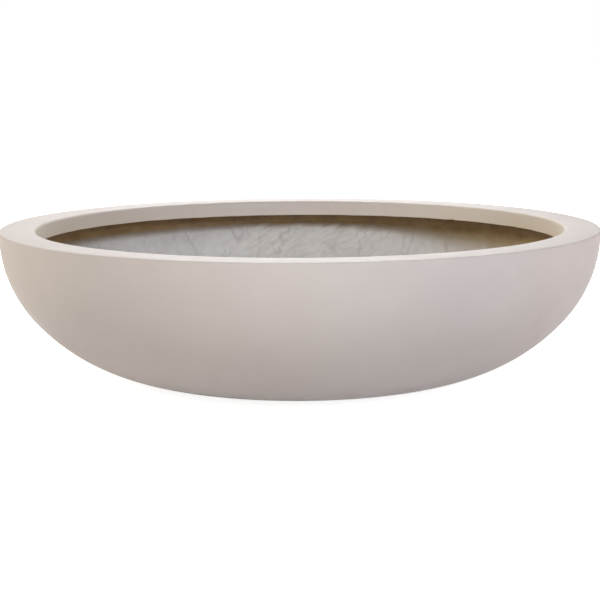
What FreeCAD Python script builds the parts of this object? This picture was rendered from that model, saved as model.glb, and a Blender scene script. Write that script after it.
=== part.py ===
import FreeCAD, Part
from enum import IntEnum, auto
import math
import os
import Sketcher

# Fibreglass bowl planter, in millimetres, +Z up, origin on the floor at the centre of the base.
# A moulded shell carries a channel-shaped rim, bonded to it behind the drop lip. Inside, a doubler
# stiffens the flat base under a hand-laid lining, and rubber plugs close the drain holes.

DIMENSIONS = {
    # Bowl: flat base, belly arc and flank arc, upright where the flank meets the rim
    "rim_diameter": 1000,
    "bowl_height": 250,
    "base_diameter": 430,
    "flank_sweep": 41,
    "shell_wall": 4,
    # Rim: flat top with a drop lip on its inside and a hidden leg that is bonded to the shell
    "rim_width": 59,
    "rim_thickness": 5,
    "rim_outer_round": 2.5,
    "rim_inner_round": 6,
    "lip_drop": 27,
    "lip_wall": 5,
    "lip_lean": 5,
    "lip_edge_round": 1.5,
    "bond_leg_drop": 26,
    "bond_leg_wall": 4,
    "bond_gap": 3,
    "bond_shrinkage": 0.1,
    # Lining: stops short of the rim and leaves a bare band of shell above it
    "lining_wall": 1.5,
    "lining_margin": 46,
    # Doubler: bevelled disc on the flat floor of the shell
    "doubler_margin": 16,
    "doubler_thickness": 4,
    "doubler_bevel": 8,
    # Drain holes through the base, and the plugs that close them
    "drain_count": 4,
    "drain_inset": 86,
    "drain_hole": 25,
    "plug_clearance": 0.3,
    "plug_taper": 0.7,
    "plug_tip_recess": 0.5,
    "plug_flange_overlap": 6.5,
    "plug_flange_thickness": 3,
    "plug_flange_round": 1,
    "plug_neck_radius": 5,
    "plug_neck_height": 5,
    "plug_knob_overhang": 4,
    "plug_knob_height": 7,
    "plug_knob_round": 2.5,
}

ORIGIN = (-1, 1)
LEVEL_AXIS_INDEX = -1
UPRIGHT_AXIS_INDEX = -2
FULL_TURN = 360
SAME_SIZE = 0.001


class Point(IntEnum):
    """The points of an edge, as sketches number them."""
    START = auto()
    END = auto()
    CENTRE = auto()


doc = FreeCAD.newDocument("bowl_planter")
sheet = doc.addObject("Spreadsheet::Sheet", "dims")
for row, (alias, value) in enumerate(DIMENSIONS.items(), start=1):
    sheet.set(f"A{row}", alias)
    sheet.set(f"B{row}", str(value))
    sheet.setAlias(f"B{row}", alias)
doc.recompute()


def size(alias):
    """A driving dimension as the sheet holds it."""
    return float(sheet.get(alias))


# Places that several pieces share, as expressions on the sheet
RIM_RADIUS = "dims.rim_diameter / 2"
LIP_RADIUS = "dims.rim_diameter / 2 - dims.rim_width"
JOINT_HEIGHT = "dims.bowl_height - dims.rim_thickness"
LIP_LEVEL = "dims.bowl_height - dims.lip_drop"
LEG_LEVEL = "dims.bowl_height - dims.bond_leg_drop"
BASE_RADIUS = "dims.base_diameter / 2"
DOUBLER_RADIUS = "dims.base_diameter / 2 - dims.doubler_margin"
DOUBLER_TOP = "dims.shell_wall + dims.doubler_thickness"
SEAT_LEVEL = "dims.shell_wall + dims.doubler_thickness + dims.lining_wall"
DRAIN_RADIUS = "dims.base_diameter / 2 - dims.drain_inset"
FLANK_RADIUS = "bowl_shell_section.Constraints.flank_radius / 1 mm"

# The same places as numbers, from which each outline is first drawn
rim_radius = size("rim_diameter") / 2
lip_radius = rim_radius - size("rim_width")
joint_height = size("bowl_height") - size("rim_thickness")
base_radius = size("base_diameter") / 2
doubler_radius = base_radius - size("doubler_margin")
doubler_top = size("shell_wall") + size("doubler_thickness")
seat_level = doubler_top + size("lining_wall")
drain_radius = base_radius - size("drain_inset")

# The flank arc turns from upright through its sweep, and the belly arc from there to the level base
sweep = math.radians(size("flank_sweep"))
wall_run = rim_radius - base_radius
spread = math.cos(sweep) + math.sin(sweep) - 1
flank_radius = (joint_height * math.cos(sweep) - wall_run * (1 - math.sin(sweep))) / spread
belly_radius = (wall_run * math.sin(sweep) - joint_height * (1 - math.cos(sweep))) / spread
flank_centre = (rim_radius - flank_radius, joint_height)
belly_centre = (base_radius, belly_radius)


def origin_feature(body, role):
    """One of a body's own origin planes or axes."""
    return next(item for item in body.Origin.OriginFeatures if item.Role == role)


def backwards(edge):
    """The same edge, followed from its end to its start."""
    return (edge[0], edge[2], edge[1])


def first(edge):
    return (edge[0], edge[1])


def last(edge):
    return (edge[0], edge[2])


def centre(edge):
    return (edge[0], Point.CENTRE)


class Outline:
    """A closed outline in an origin plane of a body, tied to the sheet by named constraints."""

    def __init__(self, body, name, plane):
        self.sketch = body.newObject("Sketcher::SketchObject", name)
        self.sketch.AttachmentSupport = [(origin_feature(body, plane), "")]
        self.sketch.MapMode = "FlatFace"

    def tie(self, *terms):
        return self.sketch.addConstraint(Sketcher.Constraint(*terms))

    def line(self, start, end):
        segment = Part.LineSegment(FreeCAD.Vector(*start, 0), FreeCAD.Vector(*end, 0))
        return (self.sketch.addGeometry(segment, False), Point.START, Point.END)

    def arc(self, middle, radius, start_angle, end_angle):
        circle = Part.Circle(FreeCAD.Vector(*middle, 0), FreeCAD.Vector(0, 0, 1), radius)
        arc = Part.ArcOfCircle(circle, start_angle, end_angle)
        return (self.sketch.addGeometry(arc, False), Point.START, Point.END)

    def circle(self, middle, radius):
        circle = Part.Circle(FreeCAD.Vector(*middle, 0), FreeCAD.Vector(0, 0, 1), radius)
        return (self.sketch.addGeometry(circle, False), Point.CENTRE, Point.CENTRE)

    def close(self, edges, smooth=()):
        """Join the edges in a ring, tangent where both edges of a pair in smooth meet."""
        for edge, following in zip(edges, edges[1:] + edges[:1]):
            pair = {edge[0], following[0]}
            tangent = any(pair == {one[0], other[0]} for one, other in smooth)
            kind = "Tangent" if tangent else "Coincident"
            self.tie(kind, *last(edge), *first(following))

    def level(self, *edges):
        for edge in edges:
            self.tie("Horizontal", edge[0])

    def upright(self, *edges):
        for edge in edges:
            self.tie("Vertical", edge[0])

    def on_axis(self, *points):
        for point in points:
            self.tie("PointOnObject", *point, UPRIGHT_AXIS_INDEX)

    def on_base_line(self, point):
        self.tie("PointOnObject", *point, LEVEL_AXIS_INDEX)

    def same_centre(self, edge, other):
        self.tie("Coincident", *centre(edge), *centre(other))

    def name_and_bind(self, index, name, expression):
        self.sketch.renameConstraint(index, name)
        self.sketch.setExpression(f"Constraints.{name}", expression)

    def across(self, name, expression, to_point, from_point=ORIGIN):
        """The distance outwards from one point to another."""
        start = self.sketch.getPoint(*from_point)
        end = self.sketch.getPoint(*to_point)
        index = self.tie("DistanceX", *from_point, *to_point, end.x - start.x)
        self.name_and_bind(index, name, expression)

    def height(self, name, expression, to_point, from_point=ORIGIN):
        """The distance upwards from one point to another."""
        start = self.sketch.getPoint(*from_point)
        end = self.sketch.getPoint(*to_point)
        index = self.tie("DistanceY", *from_point, *to_point, end.y - start.y)
        self.name_and_bind(index, name, expression)

    def radius(self, name, expression, edge):
        index = self.tie("Radius", edge[0], self.sketch.Geometry[edge[0]].Radius)
        self.name_and_bind(index, name, expression)

    def swept_angle(self, name, expression, edge):
        arc = self.sketch.Geometry[edge[0]]
        index = self.tie("Angle", edge[0], arc.LastParameter - arc.FirstParameter)
        self.name_and_bind(index, name, expression)

    def measured_radius(self, name, edge):
        """A radius that follows from the other constraints, for other outlines to read."""
        index = self.tie("Radius", edge[0], self.sketch.Geometry[edge[0]].Radius)
        self.sketch.setDriving(index, False)
        self.sketch.renameConstraint(index, name)


def new_body(name):
    body = doc.addObject("PartDesign::Body", name)
    body.Label = name
    return body


def turn(body, outline):
    """Turn an outline once round the upright axis."""
    doc.recompute()
    solid = body.newObject("PartDesign::Revolution", f"{body.Name}_turned")
    solid.Profile = outline.sketch
    solid.ReferenceAxis = (origin_feature(body, "Z_Axis"), [""])
    solid.Angle = FULL_TURN
    doc.recompute()
    return solid


def round_edges(body, name, base, circles, round_size):
    """Round the circular edges of a turned solid, each given by its radius and height."""
    edges = []
    for index, edge in enumerate(base.Shape.Edges, start=1):
        for radius, level in circles:
            if not isinstance(edge.Curve, Part.Circle):
                continue
            same_radius = abs(edge.Curve.Radius - radius) < SAME_SIZE
            same_level = abs(edge.Curve.Center.z - level) < SAME_SIZE
            if same_radius and same_level:
                edges.append(f"Edge{index}")
    if len(edges) != len(circles):
        raise ValueError(f"{name} found {len(edges)} of {len(circles)} edges")
    fillet = body.newObject("PartDesign::Fillet", name)
    fillet.Base = (base, edges)
    fillet.setExpression("Radius", f"dims.{round_size}")
    doc.recompute()
    return fillet


def drill_drains(body, thickness):
    """Cut the ring of drain holes through a solid that is as thick there as given."""
    whole = body.Shape.Volume
    outline = Outline(body, f"{body.Name}_drain_outline", "XY_Plane")
    hole = outline.circle((drain_radius, 0), size("drain_hole") / 2)
    outline.on_base_line(centre(hole))
    outline.across("drain_reach", DRAIN_RADIUS, centre(hole))
    outline.radius("drain_radius", "dims.drain_hole / 2", hole)
    doc.recompute()
    pocket = body.newObject("PartDesign::Pocket", f"{body.Name}_drain")
    pocket.Profile = outline.sketch
    pocket.Type = "ThroughAll"
    pocket.Reversed = True
    doc.recompute()
    ring = body.newObject("PartDesign::PolarPattern", f"{body.Name}_drains")
    ring.Originals = [pocket]
    ring.Axis = (origin_feature(body, "Z_Axis"), [""])
    ring.Angle = FULL_TURN
    ring.setExpression("Occurrences", "dims.drain_count")
    body.Tip = ring
    doc.recompute()
    cut = whole - body.Shape.Volume
    expected = size("drain_count") * math.pi * size("drain_hole") ** 2 / 4 * thickness
    if abs(cut - expected) > SAME_SIZE * expected:
        raise ValueError(f"{body.Name} drains took {cut:.1f} and not {expected:.1f}")


def make_bowl_shell():
    body = new_body("bowl_shell")
    wall = size("shell_wall")
    outline = Outline(body, "bowl_shell_section", "XZ_Plane")
    under = outline.line((0, 0), (base_radius, 0))
    belly = outline.arc(belly_centre, belly_radius, -math.pi / 2, -sweep)
    flank = outline.arc(flank_centre, flank_radius, -sweep, 0)
    top = outline.line((rim_radius, joint_height), (rim_radius - wall, joint_height))
    inner_flank = outline.arc(flank_centre, flank_radius - wall, -sweep, 0)
    inner_belly = outline.arc(belly_centre, belly_radius - wall, -math.pi / 2, -sweep)
    floor = outline.line((base_radius, wall), (0, wall))
    middle = outline.line((0, wall), (0, 0))
    outline.close(
        [under, belly, flank, top, backwards(inner_flank), backwards(inner_belly), floor, middle],
        smooth=[(under, belly), (belly, flank), (inner_flank, inner_belly), (inner_belly, floor)],
    )
    outline.tie("Coincident", *first(under), *ORIGIN)
    outline.level(under, top, floor)
    outline.on_axis(last(floor))
    outline.same_centre(inner_flank, flank)
    outline.same_centre(inner_belly, belly)
    outline.tie("Horizontal", *centre(flank), *last(flank))
    outline.across("base_radius", BASE_RADIUS, last(under))
    outline.across("rim_radius", RIM_RADIUS, last(flank))
    outline.height("joint_height", JOINT_HEIGHT, last(flank))
    outline.swept_angle("flank_sweep", "dims.flank_sweep * 1 deg", flank)
    outline.across("wall", "dims.shell_wall", first(top), last(top))
    outline.measured_radius("flank_radius", flank)
    turn(body, outline)
    drill_drains(body, wall)
    return body


def make_rim_ring():
    body = new_body("rim_ring")
    top_level = size("bowl_height")
    lip_level = top_level - size("lip_drop")
    leg_level = top_level - size("bond_leg_drop")
    lip_foot = lip_radius - size("lip_lean")
    leg_outer = flank_radius - size("shell_wall") - size("bond_gap")
    leg_inner = leg_outer - size("bond_leg_wall")
    leg_depth = joint_height - leg_level
    outer_turn = math.asin(leg_depth / leg_outer)
    inner_turn = math.asin(leg_depth / leg_inner)
    outer_foot = flank_centre[0] + leg_outer * math.cos(outer_turn)
    inner_foot = flank_centre[0] + leg_inner * math.cos(inner_turn)

    outline = Outline(body, "rim_ring_section", "XZ_Plane")
    edge = outline.line((rim_radius, joint_height), (rim_radius, top_level))
    top = outline.line((rim_radius, top_level), (lip_radius, top_level))
    lip = outline.line((lip_radius, top_level), (lip_foot, lip_level))
    lip_end = outline.line((lip_foot, lip_level), (lip_foot + size("lip_wall"), lip_level))
    lip_back = outline.line((lip_foot + size("lip_wall"), lip_level),
                            (lip_radius + size("lip_wall"), joint_height))
    underside = outline.line((lip_radius + size("lip_wall"), joint_height),
                             (flank_centre[0] + leg_inner, joint_height))
    leg_back = outline.arc(flank_centre, leg_inner, -inner_turn, 0)
    leg_end = outline.line((inner_foot, leg_level), (outer_foot, leg_level))
    leg_face = outline.arc(flank_centre, leg_outer, -outer_turn, 0)
    ledge = outline.line((flank_centre[0] + leg_outer, joint_height), (rim_radius, joint_height))
    outline.close([edge, top, lip, lip_end, lip_back, underside, backwards(leg_back), leg_end,
                   leg_face, ledge])
    outline.upright(edge)
    outline.level(top, lip_end, underside, leg_end, ledge)
    outline.across("rim_radius", RIM_RADIUS, first(edge))
    outline.height("joint_height", JOINT_HEIGHT, first(edge))
    outline.height("rim_level", "dims.bowl_height", last(edge))
    outline.across("lip_radius", LIP_RADIUS, last(top))
    outline.across("lip_lean", "dims.lip_lean", first(lip), last(lip))
    outline.height("lip_level", LIP_LEVEL, last(lip))
    outline.across("lip_wall", "dims.lip_wall", last(lip_end), first(lip_end))
    outline.across("lip_back", "dims.lip_wall", last(lip_back), first(lip))
    outline.across("flank_centre", f"{RIM_RADIUS} - {FLANK_RADIUS}", centre(leg_back))
    outline.height("flank_centre_level", JOINT_HEIGHT, centre(leg_back))
    outline.same_centre(leg_face, leg_back)
    outline.tie("Horizontal", *centre(leg_back), *last(leg_back))
    outline.radius("leg_face", f"{FLANK_RADIUS} - dims.shell_wall - dims.bond_gap", leg_face)
    outline.radius("leg_back", f"{FLANK_RADIUS} - dims.shell_wall - dims.bond_gap"
                               " - dims.bond_leg_wall", leg_back)
    outline.height("leg_level", LEG_LEVEL, first(leg_end))
    turned = turn(body, outline)
    outer = round_edges(body, "rim_outer_rounding", turned, [(rim_radius, top_level)],
                        "rim_outer_round")
    inner = round_edges(body, "rim_inner_rounding", outer, [(lip_radius, top_level)],
                        "rim_inner_round")
    lip_circles = [(lip_foot, lip_level), (lip_foot + size("lip_wall"), lip_level)]
    round_edges(body, "lip_edge_rounding", inner, lip_circles, "lip_edge_round")
    return body


def make_rim_bond():
    body = new_body("rim_bond")
    leg_level = size("bowl_height") - size("bond_leg_drop")
    outer_radius = flank_radius - size("shell_wall") - size("bond_shrinkage")
    inner_radius = flank_radius - size("shell_wall") - size("bond_gap")
    depth = joint_height - leg_level
    outer_turn = math.asin(depth / outer_radius)
    inner_turn = math.asin(depth / inner_radius)
    outer_foot = flank_centre[0] + outer_radius * math.cos(outer_turn)
    inner_foot = flank_centre[0] + inner_radius * math.cos(inner_turn)

    outline = Outline(body, "rim_bond_section", "XZ_Plane")
    shell_face = outline.arc(flank_centre, outer_radius, -outer_turn, 0)
    top = outline.line((flank_centre[0] + outer_radius, joint_height),
                       (flank_centre[0] + inner_radius, joint_height))
    leg_face = outline.arc(flank_centre, inner_radius, -inner_turn, 0)
    foot = outline.line((inner_foot, leg_level), (outer_foot, leg_level))
    outline.close([shell_face, top, backwards(leg_face), foot])
    outline.level(top, foot)
    outline.across("flank_centre", f"{RIM_RADIUS} - {FLANK_RADIUS}", centre(shell_face))
    outline.height("flank_centre_level", JOINT_HEIGHT, centre(shell_face))
    outline.same_centre(leg_face, shell_face)
    outline.tie("Horizontal", *centre(shell_face), *last(shell_face))
    outline.radius("shell_face", f"{FLANK_RADIUS} - dims.shell_wall - dims.bond_shrinkage", shell_face)
    outline.radius("leg_face", f"{FLANK_RADIUS} - dims.shell_wall - dims.bond_gap", leg_face)
    outline.height("leg_level", LEG_LEVEL, first(foot))
    turn(body, outline)
    return body


def make_base_doubler():
    body = new_body("base_doubler")
    floor = size("shell_wall")
    top_radius = doubler_radius - size("doubler_bevel")

    outline = Outline(body, "base_doubler_section", "XZ_Plane")
    under = outline.line((0, floor), (doubler_radius, floor))
    bevel = outline.line((doubler_radius, floor), (top_radius, doubler_top))
    top = outline.line((top_radius, doubler_top), (0, doubler_top))
    middle = outline.line((0, doubler_top), (0, floor))
    outline.close([under, bevel, top, middle])
    outline.level(under, top)
    outline.on_axis(first(under), last(top))
    outline.height("floor", "dims.shell_wall", first(under))
    outline.height("doubler_top", DOUBLER_TOP, last(top))
    outline.across("doubler_radius", DOUBLER_RADIUS, last(under))
    outline.across("bevel", "dims.doubler_bevel", first(bevel), last(bevel))
    turn(body, outline)
    drill_drains(body, size("doubler_thickness"))
    return body


def make_inner_lining():
    body = new_body("inner_lining")
    floor = size("shell_wall")
    wall = size("lining_wall")
    floor_top = floor + wall
    edge_level = size("bowl_height") - size("lining_margin")
    outer_flank_radius = flank_radius - floor
    inner_flank_radius = outer_flank_radius - wall
    edge_depth = joint_height - edge_level
    outer_turn = math.asin(edge_depth / outer_flank_radius)
    inner_turn = math.asin(edge_depth / inner_flank_radius)
    outer_edge = flank_centre[0] + outer_flank_radius * math.cos(outer_turn)
    inner_edge = flank_centre[0] + inner_flank_radius * math.cos(inner_turn)
    doubler_edge = doubler_radius - size("doubler_bevel")
    step = wall / 2

    outline = Outline(body, "inner_lining_section", "XZ_Plane")
    under = outline.line((doubler_radius, floor), (base_radius, floor))
    belly = outline.arc(belly_centre, belly_radius - floor, -math.pi / 2, -sweep)
    flank = outline.arc(flank_centre, outer_flank_radius, -sweep, -outer_turn)
    edge = outline.line((outer_edge, edge_level), (inner_edge, edge_level))
    inner_flank = outline.arc(flank_centre, inner_flank_radius, -sweep, -inner_turn)
    inner_belly = outline.arc(belly_centre, belly_radius - floor_top, -math.pi / 2, -sweep)
    top = outline.line((base_radius, floor_top), (doubler_radius + step, floor_top))
    rise = outline.line((doubler_radius + step, floor_top), (doubler_edge + step, seat_level))
    seat = outline.line((doubler_edge + step, seat_level), (0, seat_level))
    middle = outline.line((0, seat_level), (0, doubler_top))
    under_seat = outline.line((0, doubler_top), (doubler_edge, doubler_top))
    under_rise = outline.line((doubler_edge, doubler_top), (doubler_radius, floor))
    outline.close(
        [under, belly, flank, edge, backwards(inner_flank), backwards(inner_belly), top, rise, seat,
         middle, under_seat, under_rise],
        smooth=[(under, belly), (belly, flank), (inner_flank, inner_belly), (inner_belly, top)],
    )
    outline.level(under, edge, top, seat, under_seat)
    outline.on_axis(last(seat), first(under_seat))
    outline.same_centre(inner_flank, flank)
    outline.same_centre(inner_belly, belly)
    outline.across("flank_centre", f"{RIM_RADIUS} - {FLANK_RADIUS}", centre(flank))
    outline.height("flank_centre_level", JOINT_HEIGHT, centre(flank))
    outline.radius("flank_face", f"{FLANK_RADIUS} - dims.shell_wall", flank)
    outline.across("base_radius", BASE_RADIUS, last(under))
    outline.height("floor", "dims.shell_wall", last(under))
    outline.across("doubler_radius", DOUBLER_RADIUS, first(under))
    outline.across("bevel", "dims.doubler_bevel", first(under), last(under_seat))
    outline.height("doubler_top", DOUBLER_TOP, last(under_seat))
    outline.height("wall", "dims.lining_wall", first(top), last(under))
    outline.height("seat_level", SEAT_LEVEL, first(seat))
    outline.across("foot_step", "dims.lining_wall / 2", last(top), first(under))
    outline.across("seat_step", "dims.lining_wall / 2", first(seat), last(under_seat))
    outline.height("edge_level", "dims.bowl_height - dims.lining_margin", first(edge))
    turn(body, outline)
    drill_drains(body, wall)
    return body


def make_drain_plug(number):
    body = new_body(f"drain_plug_{number + 1}")
    stem_radius = size("drain_hole") / 2 - size("plug_clearance")
    tip_radius = stem_radius - size("plug_taper")
    flange_radius = size("drain_hole") / 2 + size("plug_flange_overlap")
    stem = seat_level - size("plug_tip_recess")
    flange_top = size("plug_flange_thickness")
    neck_radius = size("plug_neck_radius")
    neck_top = flange_top + size("plug_neck_height")
    knob_radius = neck_radius + size("plug_knob_overhang")
    knob_top = neck_top + size("plug_knob_height")

    outline = Outline(body, f"{body.Name}_section", "XZ_Plane")
    tip = outline.line((0, -stem), (tip_radius, -stem))
    side = outline.line((tip_radius, -stem), (stem_radius, 0))
    seat = outline.line((stem_radius, 0), (flange_radius, 0))
    flange_edge = outline.line((flange_radius, 0), (flange_radius, flange_top))
    flange = outline.line((flange_radius, flange_top), (neck_radius, flange_top))
    neck = outline.line((neck_radius, flange_top), (neck_radius, neck_top))
    knob_under = outline.line((neck_radius, neck_top), (knob_radius, neck_top))
    knob_edge = outline.line((knob_radius, neck_top), (knob_radius, knob_top))
    knob = outline.line((knob_radius, knob_top), (0, knob_top))
    middle = outline.line((0, knob_top), (0, -stem))
    outline.close([tip, side, seat, flange_edge, flange, neck, knob_under, knob_edge, knob, middle])
    outline.level(tip, seat, flange, knob_under, knob)
    outline.upright(flange_edge, neck, knob_edge, middle)
    outline.on_axis(first(tip))
    outline.on_base_line(first(seat))
    outline.height("stem", f"{SEAT_LEVEL} - dims.plug_tip_recess", ORIGIN, first(tip))
    outline.across("stem_radius", "dims.drain_hole / 2 - dims.plug_clearance", first(seat))
    outline.across("taper", "dims.plug_taper", first(seat), last(tip))
    outline.across("flange_radius", "dims.drain_hole / 2 + dims.plug_flange_overlap", last(seat))
    outline.height("flange_thickness", "dims.plug_flange_thickness", last(flange_edge))
    outline.across("neck_radius", "dims.plug_neck_radius", first(neck))
    outline.height("neck_height", "dims.plug_neck_height", last(neck), first(neck))
    outline.across("knob_overhang", "dims.plug_knob_overhang", first(knob_edge), last(neck))
    outline.height("knob_height", "dims.plug_knob_height", last(knob_edge), first(knob_edge))
    turned = turn(body, outline)
    flange_rounding = round_edges(body, f"{body.Name}_flange_rounding", turned,
                                  [(flange_radius, flange_top)], "plug_flange_round")
    knob_circles = [(knob_radius, neck_top), (knob_radius, knob_top)]
    round_edges(body, f"{body.Name}_knob_rounding", flange_rounding, knob_circles, "plug_knob_round")

    bearing = f"{number} * {FULL_TURN} deg / dims.drain_count"
    body.setExpression("Placement.Base.x", f"({DRAIN_RADIUS}) * cos({bearing})")
    body.setExpression("Placement.Base.y", f"({DRAIN_RADIUS}) * sin({bearing})")
    body.setExpression("Placement.Base.z", SEAT_LEVEL)
    return body


bodies = [make_bowl_shell(), make_rim_ring(), make_rim_bond(), make_base_doubler(), make_inner_lining()]
for plug_number in range(int(size("drain_count"))):
    bodies.append(make_drain_plug(plug_number))
doc.recompute()

for item in doc.Objects:
    if "Invalid" in item.State or "Error" in item.State:
        raise ValueError(f"{item.Label} failed: {item.State}")
for body in bodies:
    if body.Shape.isNull() or not body.Shape.isValid() or len(body.Shape.Solids) != 1:
        raise ValueError(f"{body.Label} is not one valid solid")

os.makedirs("parts", exist_ok=True)
for body in bodies:
    body.Shape.exportStep(f"parts/{body.Label}.step")
    print(f"{body.Label}: {body.Shape.Volume / 1000:.1f} cm3")
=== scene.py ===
import itertools
import math

import bmesh
import bpy
import numpy as np
from mathutils import Matrix, Vector


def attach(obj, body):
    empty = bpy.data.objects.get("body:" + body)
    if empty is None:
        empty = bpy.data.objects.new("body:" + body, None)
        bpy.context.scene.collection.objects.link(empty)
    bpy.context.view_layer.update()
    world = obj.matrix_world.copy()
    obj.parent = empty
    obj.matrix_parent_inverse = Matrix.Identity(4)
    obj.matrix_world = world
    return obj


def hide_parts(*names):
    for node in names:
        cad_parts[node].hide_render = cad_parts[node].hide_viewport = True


# Looks of a fibreglass bowl planter: matte stone paint outside, a rough hand-laid grey lining
# inside, bare brown laminate under the rim, and rubber plugs in the drain holes. Metres, +Z up.

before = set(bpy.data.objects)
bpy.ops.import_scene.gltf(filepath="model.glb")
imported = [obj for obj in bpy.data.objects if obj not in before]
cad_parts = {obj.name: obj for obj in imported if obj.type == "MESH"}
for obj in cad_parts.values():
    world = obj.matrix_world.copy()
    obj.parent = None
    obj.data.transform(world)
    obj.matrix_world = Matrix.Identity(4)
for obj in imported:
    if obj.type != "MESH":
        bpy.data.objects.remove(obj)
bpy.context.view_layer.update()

FULL_TURN = 2 * math.pi
SEED = 2372
SHARP_ANGLE = math.radians(40)

# Bowl, as the CAD part has it
RIM_RADIUS = 0.500
BOWL_HEIGHT = 0.250
BASE_RADIUS = 0.215
FLANK_SWEEP = math.radians(41)
SHELL_WALL = 0.004
RIM_THICKNESS = 0.005
JOINT_HEIGHT = BOWL_HEIGHT - RIM_THICKNESS
SHELL_SEGMENTS = 360
SHELL_RINGS_PER_ARC = 64

# The wall's flank arc turns from upright through its sweep, and its belly arc from there to the base
SWEEP_COS = math.cos(FLANK_SWEEP)
SWEEP_SIN = math.sin(FLANK_SWEEP)
SWEEP_SPREAD = SWEEP_COS + SWEEP_SIN - 1
WALL_RUN = RIM_RADIUS - BASE_RADIUS
FLANK_RADIUS = (JOINT_HEIGHT * SWEEP_COS - WALL_RUN * (1 - SWEEP_SIN)) / SWEEP_SPREAD
BELLY_RADIUS = (WALL_RUN * SWEEP_SIN - JOINT_HEIGHT * (1 - SWEEP_COS)) / SWEEP_SPREAD
FLANK_CENTRE = (RIM_RADIUS - FLANK_RADIUS, JOINT_HEIGHT)
BELLY_CENTRE = (BASE_RADIUS, BELLY_RADIUS)

# Rim channel: a flat top, a drop lip and a hidden leg. The lip's edge wanders and is chipped in one place
RIM_WIDTH = 0.059
RIM_OUTER_ROUND = 0.0025
RIM_INNER_ROUND = 0.006
RIM_SEGMENTS = 1080
LIP_DROP = 0.027
LIP_LEVEL = BOWL_HEIGHT - LIP_DROP
LIP_WALL = 0.005
LIP_LEAN = 0.005
LIP_EDGE_ROUND = 0.0015
LIP_WANDER = 0.0004
LIP_CHIPS = 0.0014
LIP_CHIPS_BEARING = math.radians(46)
LIP_CHIPS_SPREAD = math.radians(5)
LEG_DROP = 0.026
LEG_LEVEL = BOWL_HEIGHT - LEG_DROP
LEG_WALL = 0.004
LEG_STEPS = 6
BOND_GAP = 0.003
LEG_INSET = SHELL_WALL + BOND_GAP

# Painted warm light on the lip, a creamy tint: factors at its top and its foot, and at its front or back and
# its sides
WARM_LIGHT_DOWN = (0.6, 1.1)
WARM_LIGHT_ASIDE = (0.3, 0.9)

# Doubler on the floor of the bowl, under the lining
DOUBLER_MARGIN = 0.016
DOUBLER_RADIUS = BASE_RADIUS - DOUBLER_MARGIN
DOUBLER_BEVEL = 0.008
DOUBLER_THICKNESS = 0.004
DOUBLER_TOP = SHELL_WALL + DOUBLER_THICKNESS

# Lining, which thins out to a feathered edge
LINING_WALL = 0.0015
LINING_LEAST_WALL = 0.0004
LINING_MARGIN = 0.046
LINING_EDGE = BOWL_HEIGHT - LINING_MARGIN
LINING_EDGE_WANDER = 0.0024
LINING_EDGE_JITTER = 0.0016
LINING_FEATHER = 0.016
FEATHERED_SHARE = 0.15
LINING_SHARP_ANGLE = math.radians(60)
COURSE_STEPS = 120
FINE_SEGMENTS = 1024
COARSE_SEGMENTS = FINE_SEGMENTS // 2
FLOOR_RINGS = 36
WALL_RINGS = 58
BACK_RINGS = 34
EDGE_CROWDING = 1.5

# Relief of the lining: waves (height, length and seed), slanting brush strokes (in degrees) and creases
LINING_WAVES = [(0.0006, 0.085, 5), (0.0004, 0.034, 6), (0.0002, 0.014, 16)]
STROKE_HEIGHT = 0.0009
STROKE_LEAN = -30
STROKE_TURN = 20
STROKE_SIZE = (0.050, 0.050, 0.008)
BRUSHED_BEARING = math.radians(88)
BRUSHED_SPREAD = math.radians(15)
BRUSHED_ELSEWHERE = 0.5
CREASE_DEPTH = 0.0009
CREASE_SIZE = (0.045, 0.045, 0.090)
CREASE_WIDTH = 0.13
CREASE_BEND = 0.012
CREASE_BEND_SEEDS = (1709, 1710, 1711)
CREASED_BEARING = math.radians(105)
CREASED_SPREAD = math.radians(16)
CREASED_MORE = 0.4
SMOOTH_SEAT_RADIUS = 0.021
ROUGH_FROM_RADIUS = 0.045

# Grey coat on the lining: the level where it sets in, which drops to the left and on the shade side, and
# its fade there, which a drop makes wider. The drops and the wider fade are painted shade under the lip.
COAT_EDGE = 0.1970
COAT_FADE = 0.0095
COAT_WANDER = 0.001
COAT_STROKES = 0.003
LEFT_SHADE_DROP = 0.007
LEFT_SHADE_RUN = (0, 0.35)
LEFT_END_SHADE_DROP = 0.004
LEFT_END_SHADE_RUN = (0.33, 0.43)
LEFT_SHADE_FADE = 0.5
SHADE_SIDE_DROP = 0.023
SHADE_SIDE_FADE = 1.25
SHADE_SIDE_LOSS = 0.13
SHADE_SIDE_SETS_IN = np.radians((-25, 15))
SHADE_SIDE_DIES_OUT = np.radians((35, 88))

# Drain holes and the plugs in them
DRAIN_COUNT = 4
DRAIN_INSET = 0.086
DRAIN_CIRCLE = BASE_RADIUS - DRAIN_INSET
DRAIN_RADIUS = 0.0125
DRAIN_SEGMENTS = 48
SEAT_LEVEL = DOUBLER_TOP + LINING_WALL
PLUG_SEGMENTS = 144
PLUG_CLEARANCE = 0.0003
PLUG_TAPER = 0.0007
PLUG_TIP_RECESS = 0.0005
PLUG_SEAT_FILLET = 0.0003
PLUG_FLANGE_OVERLAP = 0.0065
PLUG_FLANGE_THICKNESS = 0.003
PLUG_FLANGE_ROUND = 0.001
PLUG_NECK_RADIUS = 0.005
PLUG_NECK_HEIGHT = 0.005
PLUG_NECK_FILLET = 0.0012
PLUG_KNOB_OVERHANG = 0.004
PLUG_KNOB_HEIGHT = 0.007
PLUG_KNOB_FILLET = 0.0008
PLUG_KNOB_ROUND = 0.0025
GRIP_RIBS = 18
GRIP_DEPTH = 0.0008
GRIP_START_RADIUS = 0.0055
GRIP_FULL_RADIUS = 0.0085


# Curves, noise and meshes

def arc(middle, radius, start, end, steps):
    """Points (distance from the axis, height) along an arc."""
    angles = np.linspace(start, end, steps)
    return np.column_stack([middle[0] + radius * np.cos(angles), middle[1] + radius * np.sin(angles)])


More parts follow.
